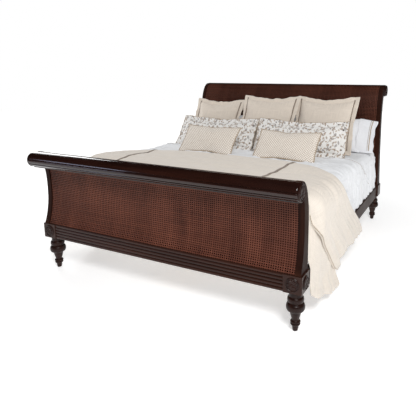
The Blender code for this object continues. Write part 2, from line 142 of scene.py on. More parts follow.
def cane(name, across, tone):
    """Stained cane: each strand has its own tone, with lighter and darker patches over the panel."""
    s = Shader(name, Specular_IOR_Level=0.15)
    strand = s.noise(s.place("Object", (52, 2, 2) if across == "x" else (2, 52, 52)), 1.0, 1.0)
    patch = s.noise(s.place("Object", (5.5, 2.0, 2.2)), 1.0, 3.0)
    fibre = s.noise(s.place("Object", (900, 60, 60) if across == "x" else (60, 900, 900)), 1.0, 1.0)
    dark, light = (0.064 * tone, 0.020 * tone, 0.013 * tone), (0.252 * tone, 0.084 * tone, 0.050 * tone)
    color = s.mix(s.span(s.plus(s.times(strand, 0.40), s.times(patch, 0.60)), 0.28, 0.74), dark, light)
    color = s.mix(s.times(fibre, 0.3), color, (0.045, 0.013, 0.008))
    return s.finish(color, s.span(strand, 0.3, 0.7, 0.34, 0.5), s.relief(fibre, 0.0002, 0.5))


def start_cloth(name, base, thread, slub, sheen=0.2):
    """A cloth shader from UVs in metres, the height of its weave, and its colour, thread by thread."""
    s = Shader(name, Specular_IOR_Level=0.2, Sheen_Weight=sheen, Sheen_Roughness=0.5)
    turns = TURN / thread
    u, v, _ = s.axes(s.uv(turns, turns))
    weave = s.math("MULTIPLY_ADD", s.times(s.math("SINE", u), s.math("SINE", v)), 0.5, 0.5)
    warp, weft = (s.noise(s.uv(*scale)) for scale in ((420, 7), (7, 420)))
    pale = tuple(min(1.0, c * (1 + slub)) for c in base)
    deep = tuple(c * (1 - slub) ** 1.6 for c in base)
    shade = tuple(c * 0.90 for c in base)
    color = s.mix(s.span(s.times(s.plus(warp, weft), 0.5), 0.38, 0.62), deep, pale)
    return s, weave, s.mix(s.times(weave, 0.22), color, shade)


def cloth_relief(s, weave, crease=0.001):
    """Weave relief over soft creases a few centimetres apart."""
    soft = s.noise(s.uv(14, 22), 1.0, 4.0, 0.55)
    return s.relief(weave, 0.0004, 0.25, s.relief(soft, crease * 4, 0.45))


def woven(name, base, thread=0.0012, slub=0.10, crease=0.0012):
    """Plain-weave cloth: threads, slubs in both directions and soft creases."""
    s, weave, color = start_cloth(name, base, thread, slub, 0.25)
    return s.finish(color, s.span(weave, 0.0, 1.0, 0.92, 0.8), cloth_relief(s, weave, crease))


LEAVES = (                    # size of a cell, turn, colour, share of cells with a leaf
    (0.046, 0.4, (0.23, 0.155, 0.11), 0.62),
    (0.060, 1.9, (0.25, 0.225, 0.215), 0.55),
    (0.037, 2.7, (0.33, 0.215, 0.13), 0.60))


def leaf_print(name, ground):
    """Generic scatter of leaves, thin stems and small seeds on cloth."""
    s, weave, color = start_cloth(name, ground, 0.0012, 0.05)
    drift = s.noise(s.uv(9, 9))
    x, y, _ = s.axes(s.uv(17, 10, 0.7))
    stem = s.math("ABSOLUTE", s.math("SINE", s.plus(s.plus(x, s.times(drift, 9.0)), y)))
    color = s.mix(s.span(stem, 0.05, 0.14, 0.85, 0.0), color, (0.20, 0.135, 0.095))
    for size, turn, tint, share in LEAVES:
        mask, vein = leaves(s, size, turn, share)
        color = s.mix(vein, s.mix(s.times(mask, 0.85), color, tint), (0.70, 0.66, 0.60))
    seeds = s.cells(s.uv(27, 27, 0.3))
    near = s.span(seeds["Distance"], 0.15, 0.21, 1.0, 0.0)
    pick = s.math("GREATER_THAN", s.axes(seeds["Color"])[1], 0.80)
    return s.finish(s.mix(s.times(near, pick), color, (0.055, 0.035, 0.030)), 0.88, cloth_relief(s, weave))


def leaves(s, size, turn, share):
    """Masks of pointed leaves and their veins: one leaf a cell, each turned its own way."""
    place = s.uv(1 / size, 1 / size, turn)
    cells = s.cells(place)
    local = s.node("VectorMath", {0: place, 1: cells["Position"]}, operation="SUBTRACT")
    red, green, _ = s.axes(cells["Color"])
    inputs = {"Vector": local.outputs[0], "Angle": s.times(red, TURN)}
    x, y, _ = s.axes(s.node("VectorRotate", inputs, rotation_type="Z_AXIS").outputs[0])
    side = s.math("ABSOLUTE", y)
    width = s.math("MULTIPLY_ADD", s.times(x, x), -1.15, 0.17)
    mask = s.times(s.span(s.math("SUBTRACT", width, side), 0.0, 0.03), s.math("LESS_THAN", green, share))
    return mask, s.times(s.span(side, 0.012, 0.024, 1.0, 0.0), mask)


def lattice(name, ground, line, pitch=0.0150):
    """Diagonal basket weave of two crossing bands."""
    s, weave, color = start_cloth(name, ground, 0.0012, 0.06, 0.25)
    u, v, _ = s.axes(s.uv(1 / pitch, 1 / pitch, radians(45)))
    odd = s.math("ABSOLUTE", s.math("MODULO", s.plus(s.math("FLOOR", u), s.math("FLOOR", v)), 2.0))
    off_u, off_v = (s.math("ABSOLUTE", s.math("SUBTRACT", s.math("FRACT", c), 0.5)) for c in (u, v))
    near_u, near_v = (s.span(off, 0.16, 0.24, 1.0, 0.0) for off in (off_u, off_v))
    pick = s.plus(s.times(near_u, odd), s.times(near_v, s.math("SUBTRACT", 1.0, odd)))
    return s.finish(s.mix(pick, color, line), 0.88, s.relief(pick, 0.0012, 0.5, cloth_relief(s, weave)))


def ticking(name, ground, stripe, pitch=0.030):
    """Striped mattress ticking."""
    s, weave, color = start_cloth(name, ground, 0.0011, 0.05)
    u, _, _ = s.axes(s.uv(TURN / pitch, 1))
    band = s.span(s.math("SINE", u), 0.72, 0.8)
    return s.finish(s.mix(band, color, stripe), 0.85, cloth_relief(s, weave))


def braid(name, dark, light):
    """Two-tone twisted braid, in UV metres along its length."""
    s = Shader(name, Specular_IOR_Level=0.3, Sheen_Weight=0.2, Sheen_Roughness=0.5)
    u, v, _ = s.axes(s.uv(420, 420))
    twist = s.math("SINE", s.plus(u, v))
    uneven = s.noise(s.uv(60, 60))
    pick = s.span(s.plus(twist, s.times(uneven, 1.2)), 0.2, 1.1)
    return s.finish(s.mix(pick, dark, light), 0.8, s.relief(twist, 0.0008, 0.6))


def pine(name, axis, pale=(0.60, 0.43, 0.26), deep=(0.42, 0.26, 0.13)):
    """Bare softwood with long grain."""
    s = Shader(name, Specular_IOR_Level=0.3)
    grain = s.noise(s.place("Object", along_grain(axis, 0.9, 30)), 1.0, 5.0, 0.6)
    rings = s.math("SINE", s.times(grain, 34.0))
    color = s.mix(s.span(rings, -1.0, 1.0, 0.0, 0.6), pale, deep)
    return s.finish(color, s.span(grain, 0.3, 0.7, 0.62, 0.77), s.relief(grain, 0.0006, 0.5))


def steel(name):
    """Zinc-plated steel with a mottled spangle."""
    s = Shader(name, Metallic=1.0)
    spangle = s.noise(s.place("Object", (60, 60, 60)), 1.0, 3.0)
    color = s.mix(spangle, (0.38, 0.38, 0.39), (0.58, 0.58, 0.60))
    return s.finish(color, s.span(spangle, 0.3, 0.7, 0.28, 0.5), s.relief(spangle, 0.0002, 0.4))


def studio_floor():
    """Matt white sweep that glows, though it is no lamp: painted light, weaker near the bed and stronger
    further out, so that shadows on it stay faint and it runs into the backdrop.
    """
    s = Shader("pale_floor", Specular_IOR_Level=0.1, Emission_Color=(1.0, 1.0, 1.0, 1.0))
    distance = s.node("VectorMath", {0: s.place()}, operation="LENGTH").outputs["Value"]
    # glow from 0.40 beside the bed to 0.80 far out: painted light that lifts the floor's shadows
    s.feed(s.principled.inputs["Emission Strength"], s.span(distance, 1.8, 5.0, 0.40, 0.80))
    mottle = s.noise(s.place("Object", (0.8, 0.8, 1)), 1.0, 3.0)
    return s.finish(s.mix(mottle, (0.90, 0.90, 0.90), (0.93, 0.93, 0.93)), 0.9)


WOOD = {axis: lacquer(f"lacquer_along_{axis}", axis) for axis in "xyz"}
POST_PAINTED_SHADE_WOOD, POLISHED_WOOD, PAINTED_SHADE_WOOD, SATIN_PAINTED_REFLECTION_WOOD, BACKING_WOOD = (lacquer(*spec) for spec in (
    # posts: low gloss, and a darker copy of the lacquer as painted shade on them
    ("post_painted_shade_lacquer_along_z", "z", 0.05, 0.0, (0.0085, 0.0030, 0.0020), (0.026, 0.0085, 0.0048)),
    ("polished_lacquer_along_x", "x", 0.36, 0.20, (0.0072, 0.0026, 0.0020), (0.022, 0.0072, 0.0046)),
    # head's crest rail and roll: a darker copy of the lacquer, painted shade over the headboard
    ("painted_shade_lacquer_along_x", "x", 0.20, 0.05, (0.0080, 0.0030, 0.0022), (0.026, 0.0088, 0.0052)),
    # side rails and cleats: satin lacquer whose grey-brown colour is a painted reflection of the pale floor
    ("satin_painted_reflection_lacquer_along_y", "y", 0.06, 0.0, (0.030, 0.024, 0.022), (0.062, 0.048, 0.044)),
    ("matt_backing_stain", "x", 0.02, 0.0, (0.0080, 0.0036, 0.0026), (0.016, 0.0065, 0.0045))))
# The head's cane is a darker copy (tone 0.55): painted shade over the headboard.
CANE = {end: (cane(f"{label}_upright", "x", tone), cane(f"{label}_crossing", "z", tone))
        for end, label, tone in (("foot", "cane", 0.88), ("head", "painted_shade_cane", 0.55))}
STEEL = steel("plated_steel")
PINE_X = pine("pine_along_x", "x")
PINE_Y = pine("pine_along_y", "y")
TICKING = ticking("mattress_ticking", (0.74, 0.73, 0.70), (0.30, 0.36, 0.46))
SHEET_COTTON = woven("sheet_cotton", (0.80, 0.81, 0.84), thread=0.0008, slub=0.02, crease=0.0016)
QUILT_COTTON = woven("quilt_cotton", (0.80, 0.81, 0.83), slub=0.03, crease=0.0045)
CREAM_LINEN = woven("cream_linen", (0.735, 0.668, 0.590), thread=0.0014, slub=0.07, crease=0.0028)
SHAM_LINEN = woven("sham_linen", (0.690, 0.610, 0.525), thread=0.0014, slub=0.09)
OLIVE_LINEN = woven("olive_linen", (0.115, 0.095, 0.060), thread=0.0014, slub=0.09)
LEAF_PRINT = leaf_print("leaf_print", (0.79, 0.775, 0.75))
LATTICE = lattice("lattice_weave", (0.92, 0.865, 0.79), (0.40, 0.315, 0.24))
BROWN_BRAID = braid("brown_braid", (0.060, 0.036, 0.026), (0.46, 0.38, 0.31))
TAN_BRAID = braid("tan_braid", (0.34, 0.25, 0.17), (0.52, 0.43, 0.33))
GREY_BRAID = braid("grey_braid", (0.40, 0.36, 0.32), (0.58, 0.54, 0.50))


# ---------------------------------------------------------------- mesh helpers
def link(name, data):
    made = bpy.data.objects.new(name, data)
    SCENE.collection.objects.link(made)
    return made


def modify(piece, name, kind, **settings):
    added = piece.modifiers.new(name, kind)
    for key, value in settings.items():
        setattr(added, key, value)


def smooth(piece, levels):
    if levels:
        modify(piece, "finer", "SUBSURF", levels=levels, render_levels=levels)


def add_mesh(name, vertices, faces, material, uv, body="bed", levels=0):
    """A smooth-shaded piece that rides on a body. UVs are one pair a vertex, in metres."""
    mesh = bpy.data.meshes.new(name)
    vertices = np.asarray(vertices, float).reshape(-1, 3)
    mesh.from_pydata(vertices.tolist(), [], [list(map(int, face)) for face in faces])
    mesh.shade_smooth()
    if uv is not None:
        corner = np.zeros(len(mesh.loops), np.int32)
        mesh.loops.foreach_get("vertex_index", corner)
        layer = mesh.uv_layers.new(name="UVMap")
        layer.data.foreach_set("uv", np.asarray(uv, np.float32)[corner].ravel())
    for entry in material if isinstance(material, tuple) else (material,):
        mesh.materials.append(entry)
    made = link(name, mesh)
    smooth(made, levels)
    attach(made, body)
    return made


def stack(*parts):
    """Arrays of any matching shapes as one array of points."""
    return np.stack(np.broadcast_arrays(*parts), -1)


def pairs(a, b):
    return stack(a, b).reshape(-1, 2)


def clamp(value):
    return np.clip(value, 0, 1)


def bell(value):
    return np.exp(-(value ** 2))


def unit(vectors):
    return vectors / np.maximum(np.linalg.norm(vectors, axis=-1, keepdims=True), 1e-9)


def walked(path):
    """Distance along a path at each of its points."""
    return np.concatenate([[0], np.cumsum(np.linalg.norm(np.diff(path, axis=0), axis=1))])


def numbers(*shape):
    return np.arange(prod(shape)).reshape(shape)


def grid_faces(index):
    """Quads over a 2-D array of vertex numbers."""
    return np.stack([index[:-1, :-1], index[:-1, 1:], index[1:, 1:], index[1:, :-1]], -1).reshape(-1, 4)


def shares(rows, columns, first_row=0, first_column=0):
    """Even steps up to 1, down the rows and across the columns."""
    return np.linspace(first_row, 1, rows)[:, None], np.linspace(first_column, 1, columns)[None]


def looped(index):
    """The same vertex numbers with the first column again at the end."""
    return np.concatenate([index, index[:, :1]], 1)


def border_of(index):
    """Vertex numbers round the edge of a grid, in order."""
    return np.concatenate([index[0, :-1], index[:-1, -1], index[-1, :0:-1], index[:0:-1, 0]])


def grid_normals(points):
    return unit(np.cross(np.gradient(points, axis=1), np.gradient(points, axis=0)))


def facing_normals(points, axis, sign=1):
    """Normals of a grid, turned so that the one in the middle looks along the axis."""
    normal = grid_normals(points)
    middle = normal[points.shape[0] // 2, points.shape[1] // 2, axis]
    return normal * (np.sign(middle) * sign)


def thick_sheet(points, thickness):
    """Vertices and faces of a closed cloth round a grid of middle points."""
    normal = grid_normals(points)
    half = np.broadcast_to(np.asarray(thickness) / 2, points.shape[:2])[..., None]
    index = numbers(*points.shape[:2])
    rim = border_of(index)
    after = np.roll(rim, -1)
    border = np.stack([rim, rim + index.size, after + index.size, after], -1)
    faces = np.concatenate([grid_faces(index)[:, ::-1], grid_faces(index + index.size), border[:, ::-1]])
    return np.concatenate([points + normal * half, points - normal * half]).reshape(-1, 3), faces


def flat_uv(rows, columns, length, width):
    """UVs of both faces of a sheet cut to that length and width."""
    v, u = np.meshgrid(np.linspace(0, length, rows), np.linspace(0, width, columns), indexing="ij")
    return np.tile(pairs(u, v), (2, 1))


def cloth(name, points, normal, thickness, material, flat, levels=0):
    """Closed cloth round a grid of middle points, its front along the normals. Flat is length and width."""
    vertices, faces = thick_sheet(points, thickness)
    a, b, c = (Vector(vertices[n]) for n in faces[0][:3])
    if (b - a).cross(c - b).dot(Vector(normal[0, 0])) <= 0:
        faces = faces[:, ::-1]
    return add_mesh(name, vertices, faces, material, flat_uv(*points.shape[:2], *flat), levels=levels)


def soft_noise(points, *layers):
    """Sum of smooth noise at each point. Each layer: features a metre, seed and height."""
    flat = points.reshape(-1, 3)
    total = 0
    for scale, seed, height in layers:
        shift = Vector((seed * 7.3, seed * 3.1, seed * 5.7))
        found = np.array([noise.noise(Vector(p) * scale + shift) for p in flat])
        total = total + found.reshape(points.shape[:-1]) * height
    return total


def tube(name, path, radius, material, body="bed", sides=8, twist=0.0, lobes=0.0):
    """Round cord along a closed path. Twist (turns a metre) and lobes (0 to 1) give it two spiral strands."""
    path = np.asarray(path, float)
    along = unit(np.roll(path, -1, 0) - np.roll(path, 1, 0))
    length = walked(path)
    side = unit(np.cross(along, np.array([0.13, 0.97, 0.21])))
    up = np.cross(side, along)
    angle = np.linspace(0, TURN, sides, endpoint=False)
    radii = radius * (1 + lobes * np.cos(2 * (angle[None, :] - TURN * twist * length[:, None])))
    ring = np.cos(angle)[None, :, None] * side[:, None] + np.sin(angle)[None, :, None] * up[:, None]
    index = looped(numbers(len(path), sides))
    u, v = np.meshgrid(angle / TURN * radius * 6, length, indexing="xy")
    faces = grid_faces(np.concatenate([index, index[:1]], 0))
    return add_mesh(name, path[:, None] + ring * radii[..., None], faces, material, pairs(u, v), body)


QUILT_BRAID = (0.005, 0.0016)     # width and height of each braid
DUVET_BRAID = (0.025, 0.0034)
FOLD_BRAID = (0.0045, 0.0020)
SHAM_BRAID = (0.013, 0.0022)
BRAID_SECTION = ((-0.5, -0.4), (-0.42, 0.7), (0.0, 1.0), (0.42, 0.7), (0.5, -0.4))   # shares of width, height


def ribbon(name, path, normals, width, height, material, body="bed"):
    """Flat braid laid along a path on a surface, with a low crown."""
    side = unit(np.cross(np.gradient(path, axis=0), normals))
    points = np.stack([path + side * (a * width) + normals * (b * height) for a, b in BRAID_SECTION], 1)
    index = numbers(*points.shape[:2])
    faces = grid_faces(looped(index)).tolist() + [index[0].tolist()[::-1], index[-1].tolist()]
    uv = pairs(np.array([a * width for a, _ in BRAID_SECTION]), walked(path)[:, None])
    return add_mesh(name, points, faces, material, uv, body)


def tree_of(mesh):
    """Search tree over a mesh's faces."""
    return BVHTree.FromPolygons([v.co.copy() for v in mesh.vertices], [p.vertices[:] for p in mesh.polygons])


# ---------------------------------------------------------------- wooden frame
def finish_wood(node, material, width=0.0, levels=0):
    """Material and eased edges, or smoothed turning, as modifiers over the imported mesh."""
    piece = NODES[node]
    piece.data.materials.clear()
    piece.data.materials.append(material)
    if not width and not levels:
        return
    modify(piece, "closed", "WELD", merge_threshold=0.00002)
    smooth(piece, levels)
    if width:
        modify(piece, "rounded", "BEVEL", width=width, segments=2, limit_method="ANGLE",
               angle_limit=radians(30), harden_normals=False)
        modify(piece, "shaded", "WEIGHTED_NORMAL", keep_sharp=False)


def surface_line(node, start_y, low, high, count=160):
    """Depths and heights of a panel's face near mid-width, found by looking at it along +Y."""
    tree = tree_of(NODES[node].data)
    starts = [Vector((0.011, start_y, z)) for z in np.linspace(low, high, count)]
    hits = [tree.ray_cast(start, Vector((0, 1, 0)))[0] for start in starts]
    return np.array([(hit.y, hit.z) for hit in hits if hit is not None])


def even_steps(line, step, parts):
    """The line resampled evenly, in a whole number of steps with so many parts each."""
    lengths = walked(line)
    at = np.linspace(0, lengths[-1], max(2, round(lengths[-1] / step)) * parts + 1)
    return stack(*(np.interp(at, lengths, line[:, k]) for k in range(2)))


CANE_PITCH_X = 0.0151
CANE_PITCH_Z = 0.0137
CANE_STRIP = 0.0063
CANE_STEPS = 4                # mesh steps between two crossing strands
CANE_WEAVE = 0.0010           # how far a strand passes over or under the middle
CANE_CROWN = 0.0005
CANE_INSET = 0.0024           # middle of the weave, behind the panel's face
CANE_EDGE = 0.0015            # gap left round the weave


def woven_cane(end):
    """Open square cane: upright and crossing strands that pass over and under each other."""
    node = f"{end}_cane_panel"
    low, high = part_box(node)
    line = surface_line(node, -3.0 if end == "foot" else 0.0, low.z + 0.0005, high.z - CANE_EDGE)
    line = even_steps(line, CANE_PITCH_Z, CANE_STEPS)
    half = high.x - CANE_EDGE
    columns = CANE_STEPS * round(2 * half / CANE_PITCH_X) + 1
    xs = np.linspace(-half, half, columns)
    along = unit(np.gradient(line, axis=0))
    outward = stack(-along[:, 1], along[:, 0])
    middle = line - outward * CANE_INSET
    grid = stack(xs, *middle.T[..., None])
    out = stack(0.0, *outward.T[..., None])
    for kind, sign, slide, material in (("upright", 1, np.array([1, 0, 0]), CANE[end][0]),
                                        ("crossing", -1, stack(0.0, *along.T[..., None]), CANE[end][1])):
        spots, lift, slide = (np.swapaxes(np.broadcast_to(part, grid.shape), 0, 1) if sign > 0
                              else np.broadcast_to(part, grid.shape) for part in (grid, out, slide))
        strands = np.arange(CANE_STEPS // 2, len(spots), CANE_STEPS)
        turn = np.arange(spots.shape[1]) / CANE_STEPS + np.arange(len(strands))[:, None]
        rise = np.sin(turn * pi) * sign * CANE_WEAVE
        points = np.stack([spots[strands] + slide[strands] * (side * CANE_STRIP)
                           + lift[strands] * (rise + crown * CANE_CROWN)[..., None]
                           for side, crown in ((-0.5, 0), (0.0, 1), (0.5, 0))], 2)
        index = numbers(*points.shape[:3])
        faces = np.stack([index[:, :-1, :-1], index[:, :-1, 1:], index[:, 1:, 1:], index[:, 1:, :-1]], -1)
        faces = faces[..., ::sign].reshape(-1, 4)
        add_mesh(f"{node}_{kind}_strands", points, faces, material, None)
    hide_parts(node)


def flower_disc(node, outward, petals=8):
    """Carved rosette: rim, ring of veined petals and centre boss, with heights as shares of its thickness."""
    low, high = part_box(node)
    outward = Vector(outward)
    thickness, radius = abs((high - low).dot(outward)), max(high - low) / 2
    ground = 0.28
    rings = np.concatenate([np.linspace(0.0, 0.98, 44), [1.0, 1.0]])
    r, angle = np.meshgrid(rings, np.linspace(0, TURN, 120, endpoint=False), indexing="ij")
    lobe = np.abs(np.cos(petals * angle / 2))
    inside = clamp((0.50 + 0.27 * lobe ** 0.6 - r) / 0.07) * clamp((r - 0.20) / 0.05)
    swell = 0.45 + 0.40 * lobe ** 0.5 * np.sin(clamp((r - 0.20) / 0.57) * pi) ** 0.6
    vein = bell(np.abs(np.sin(petals * angle / 2)) / 0.13) * 0.16
    boss = ground + clamp((0.19 - r) / 0.19) ** 0.5 * 0.72 - bell(r / 0.05) * 0.3
    rim = ground + np.exp(-(((r - 0.90) / 0.055) ** 4)) * 0.62
    height = np.maximum(ground + inside * (swell - vein - 0.10), np.where(r < 0.20, boss, 0))
    height = np.maximum(height, rim)
    height[r > 0.975] = 0.55
    height[-1] = 0.0
    height = clamp(height) * thickness
    side = outward.orthogonal().normalized()
    base = (low + high) / 2 - outward * thickness / 2
    x, y = r * np.cos(angle) * radius, r * np.sin(angle) * radius
    points = np.array(base) + sum(distance[..., None] * np.array(axis) for distance, axis in (
        (x, side), (y, outward.cross(side)), (height, outward)))
    doubles = r.shape[1] - 1                     # the first ring is a single point
    index = np.maximum(numbers(*r.shape) - doubles, 0)
    faces = [list(dict.fromkeys(face)) for face in grid_faces(looped(index)).tolist()]
    faces.append(index[-1].tolist()[::-1])
    if Vector(points[1, 0] - points[0, 0]).cross(Vector(points[1, 30] - points[0, 0])).dot(outward) <= 0:
        faces = [face[::-1] for face in faces]
    piece = add_mesh(f"{node}_carved", points.reshape(-1, 3)[doubles:], faces, WOOD["z"], None)
    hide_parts(node)


GROOVE = (168, 262, 0.885)                   # start and end angle, share of the radius
BEADS = ((172, 203, 0.91, 0.095, 0.0), (206, 221, 0.90, 0.0, 0.0040))  # start, end, base, swell (share, m)


def roll_section(radius, facing, moulded):
    """Outline (y, z) of a roll round its centre: plain, or with a groove and two beads facing out."""
    angles = np.radians(np.arange(0, 360, 2.0))
    radii = np.full(len(angles), radius)
    if moulded:
        radii[(angles > radians(GROOVE[0])) & (angles < radians(GROOVE[1]))] = radius * GROOVE[2]
        for start, end, base, share, swell in BEADS:
            across = clamp(np.abs(angles - radians((start + end) / 2)) / radians((end - start) / 2))
            bead = radius * base + (radius * share + swell) * np.sqrt(1 - across ** 2)
            radii = np.maximum(radii, np.where(across < 1, bead, 0))
    return stack(np.cos(angles) * radii * -facing, np.sin(angles) * radii)


def roll(node, facing, moulded, material, ease=0.012):
    """The long scroll on top of a board, its ends eased over."""
    low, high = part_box(node)
    centre, radius = (low + high) / 2, (high.z - low.z) / 2
    turn = np.radians([0, 18, 36, 54, 72, 90])
    end_x = high.x - ease + ease * np.sin(turn)
    end_scale = 1 - ease * (1 - np.cos(turn)) / radius
    middle_x = np.linspace(-0.98, 0.98, 29) * (high.x - ease)
    xs = np.concatenate([-end_x[::-1], middle_x, end_x])
    scales = np.concatenate([end_scale[::-1], np.ones(len(middle_x)), end_scale])
    y, z = (roll_section(radius, facing, moulded) * scales[:, None, None]).T
    points = stack(xs[:, None], y.T + centre.y, z.T + centre.z)
    index = numbers(*points.shape[:2])
    faces = grid_faces(looped(index)).tolist() + [index[0].tolist()[::-1], index[-1].tolist()]
    faces = [face[::-facing] for face in faces]
    piece = add_mesh(f"{node}_moulded" if moulded else f"{node}_turned", points, faces, material, None)
    piece.data.set_sharp_from_angle(angle=radians(50))
    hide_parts(node)


def build_wood():
    for end in ENDS:
        for side, _ in SIDES:
            finish_wood(f"{end}_post_{side}", POST_PAINTED_SHADE_WOOD, 0.0028)
            finish_wood(f"{end}_block_{side}", WOOD["z"], 0.0022)
            finish_wood(f"{end}_leg_{side}", WOOD["z"], levels=2)
            finish_wood(f"{end}_rail_bracket_{side}", STEEL, 0.0006)
        finish_wood(f"{end}_crest_rail", WOOD["x"] if end == "foot" else PAINTED_SHADE_WOOD, 0.0012)
        finish_wood(f"{end}_back_panel", BACKING_WOOD, 0.0010)
        finish_wood(f"centre_leg_{end}", WOOD["z"], 0.0025)
    for side, _ in SIDES:
        finish_wood(f"side_rail_{side}", SATIN_PAINTED_REFLECTION_WOOD, 0.0030)
        finish_wood(f"slat_cleat_{side}", SATIN_PAINTED_REFLECTION_WOOD, 0.0015)
    finish_wood("foot_reeded_rail", WOOD["x"], 0.0008)
    finish_wood("head_lower_rail", WOOD["x"], 0.0025)
    finish_wood("foot_bead", WOOD["x"])
    finish_wood("centre_beam", PINE_Y, 0.0015)
    for number in range(1, 5):
        finish_wood(f"slat_{number}", PINE_X, 0.0015)
    roll("foot_roll", -1, True, POLISHED_WOOD)
    roll("head_roll", 1, False, PAINTED_SHADE_WOOD)
    for side, sign in SIDES:
        for node in ("foot_roll", "head_roll", "foot_block", "foot_side"):
            flower_disc(f"{node}_rosette_{side}", (0, -1, 0) if node == "foot_block" else (sign, 0, 0))
    for end in ENDS:
        woven_cane(end)


# ---------------------------------------------------------------- mattress and sheets
def edge_steps(low, high, radius, cell):
    """Grid lines from low to high: fine over the rounded edges, even between them."""
    inner = np.linspace(low + radius, high - radius, max(2, round((high - low - 2 * radius) / cell)) + 1)
    fine = radius * np.array([0.0, 0.3, 0.62])
    return np.concatenate([low + fine, inner, (high - fine)[::-1]])


def soft_box(low, high, radius, cell, open_below=False):
    """Points, outward normals, quads and UVs of a box with rounded edges."""
    low, high = np.array(low), np.array(high)
    lines = [edge_steps(low[k], high[k], radius, cell) for k in range(3)]
    points, faces, uvs, count = [], [], [], 0
    for axis in range(3):
        first, second = [k for k in range(3) if k != axis]
        a, b = np.meshgrid(lines[first], lines[second], indexing="ij")
        for end in (0, 1):
            if open_below and axis == 2 and end == 0:
                continue
            face = np.zeros(a.shape + (3,))
            face[..., first], face[..., second], face[..., axis] = a, b, (low, high)[end][axis]
            quads = grid_faces(numbers(*a.shape) + count)
            points.append(face.reshape(-1, 3))
            uvs.append(pairs(a, b))
            faces.append(quads if (end == 1) != (axis == 1) else quads[:, ::-1])
            count += a.size
    points = np.concatenate(points)
    core_low = low + radius
    if open_below:
        core_low[2] = low[2]
    core = np.clip(points, core_low, high - radius)
    normal = unit(points - core)
    return core + normal * radius, normal, np.concatenate(faces), np.concatenate(uvs)


def boxed_piece(name, points, faces, uvs, material):
    """A piece from separate face grids, its matching edge points merged."""
    made = add_mesh(name, points, faces, material, uvs)
    modify(made, "closed", "WELD", merge_threshold=0.0005)
    smooth(made, 1)
    return made


PIPING = 0.0055
TUFT_PITCH = 0.22


def build_mattress():
    for node, radius, swell, piped in (("mattress", 0.045, 0.004, ("low",)),
                                       ("box_spring", 0.022, 0.0, ("low", "high"))):
        low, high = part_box(node)
        points, normals, faces, uvs = soft_box(low, high, radius, 0.05)
        tuft = np.cos(points[:, 0] * TURN / TUFT_PITCH) * np.cos(points[:, 1] * TURN / TUFT_PITCH)
        points = points + normals * (np.minimum(tuft, 0.2) * swell - swell)[:, None]
        piece = boxed_piece(f"{node}_upholstered", points, faces, uvs, TICKING)
        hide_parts(node)
        for label in piped:
            height = low.z + PIPING * 1.6 if label == "low" else high.z - PIPING * 1.6
            path = rounded_loop(low, high, radius, height, PIPING)
            tube(f"{node}_piping_{label}", path, PIPING * 0.8, SHEET_COTTON)


def rounded_loop(low, high, radius, height, inset, count=10):
    """Closed path round a box's plan at one height."""
    path = []
    for x, y, start in ((high.x, high.y, 0), (low.x, high.y, 90), (low.x, low.y, 180), (high.x, low.y, 270)):
        centre_x = x - copysign(radius, x)
        centre_y = y - copysign(radius, y - (low.y + high.y) / 2)
        for step in range(count + 1):
            angle = radians(start + 90 * step / count)
            path.append(np.array((centre_x + (radius - inset * 0.6) * cos(angle),
                                  centre_y + (radius - inset * 0.6) * sin(angle), height)))
    dense = []
    for a, b in zip(path, path[1:] + path[:1]):
        parts = max(1, round(np.linalg.norm(b - a) / 0.05))
        dense += [a + (b - a) * k / parts for k in range(parts)]
    return dense


def build_fitted_sheet():
    """Cotton cover stretched over the mattress, with slack folds down its sides."""
    low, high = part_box("fitted_sheet")
    points, normals, faces, uvs = soft_box(low, high, 0.05, 0.028, open_below=True)
    side = 1 - np.abs(normals[:, 2])
    depth = clamp((high.z - points[:, 2]) / (high.z - low.z))
    folds = soft_noise(points * (1, 1, 0.12), (13.0, 3, 0.7), (30.0, 4, 0.3))
    lift = side * (folds * 0.0075 * (0.3 + depth)) + (1 - side) * soft_noise(points, (9.0, 5, 1)) * 0.0015
    from_end = np.minimum(high.y - points[:, 1], points[:, 1] - low.y)
    corner = bell(np.hypot(high.x - np.abs(points[:, 0]), from_end) / 0.09)
    lift += corner * side * 0.004 * np.sin(points[:, 2] * 90)
    lift = np.clip(lift, -0.001, 0.009) + side * 0.020 * clamp((depth - 0.72) / 0.28) ** 1.5
    points = points + normals * lift[:, None]
    points[:, 2] = np.minimum(points[:, 2], high.z + 0.002)
    piece = boxed_piece("fitted_sheet_cotton", points, faces, uvs, SHEET_COTTON)
    modify(piece, "cloth_thickness", "SOLIDIFY", thickness=0.0014, offset=1.0)
    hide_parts("fitted_sheet")


class Drape:
    """Cross-section of cloth laid over a box: flat top, rounded edges and hanging sides."""

    def __init__(self, half_width, top, radius):
        self.top, self.radius = top, radius
        self.flat = half_width - radius
        self.bend = radius * pi / 2

    def reach(self, height):
        """Arc length from the middle to the point on the hanging side at a height."""
        return self.flat + self.bend + (self.top - self.radius - height)

    def at(self, arc):
        """X, Z and the length already hanging, at a signed arc length from the middle."""
        size = np.abs(arc)
        angle = np.clip((size - self.flat) / self.radius, 0, pi / 2)
        below = np.maximum(size - self.flat - self.bend, 0)
        x = np.minimum(size, self.flat) + self.radius * np.sin(angle)
        return np.sign(arc) * x, self.top - self.radius * (1 - np.cos(angle)) - below, below


QUILT_FOLD_Z = (0.36, 0.58, 0.745, 0.760)     # height of the turned-back edge on the hanging side ...
QUILT_FOLD_Y = (0.880, 0.640, 0.350, 0.315)    # ... and how far up the bed it is there
QUILT_DOUBLED = 0.0130        # rise of the turned-back layer
QUILT_THICKNESS = 0.0065
QUILT_CHANNEL = 0.075         # pitch of the quilting
QUILT_CREASES = (             # low end (y, z), high end (y, z), height and width of folds on the hanging side
    ((0.395, 0.385), (0.215, 0.640), -0.034, 0.010),
    ((0.430, 0.385), (0.250, 0.700), 0.016, 0.018),
    ((0.231, 0.390), (-0.289, 0.720), -0.016, 0.014),
    ((0.700, 0.390), (0.560, 0.690), -0.014, 0.013),
)


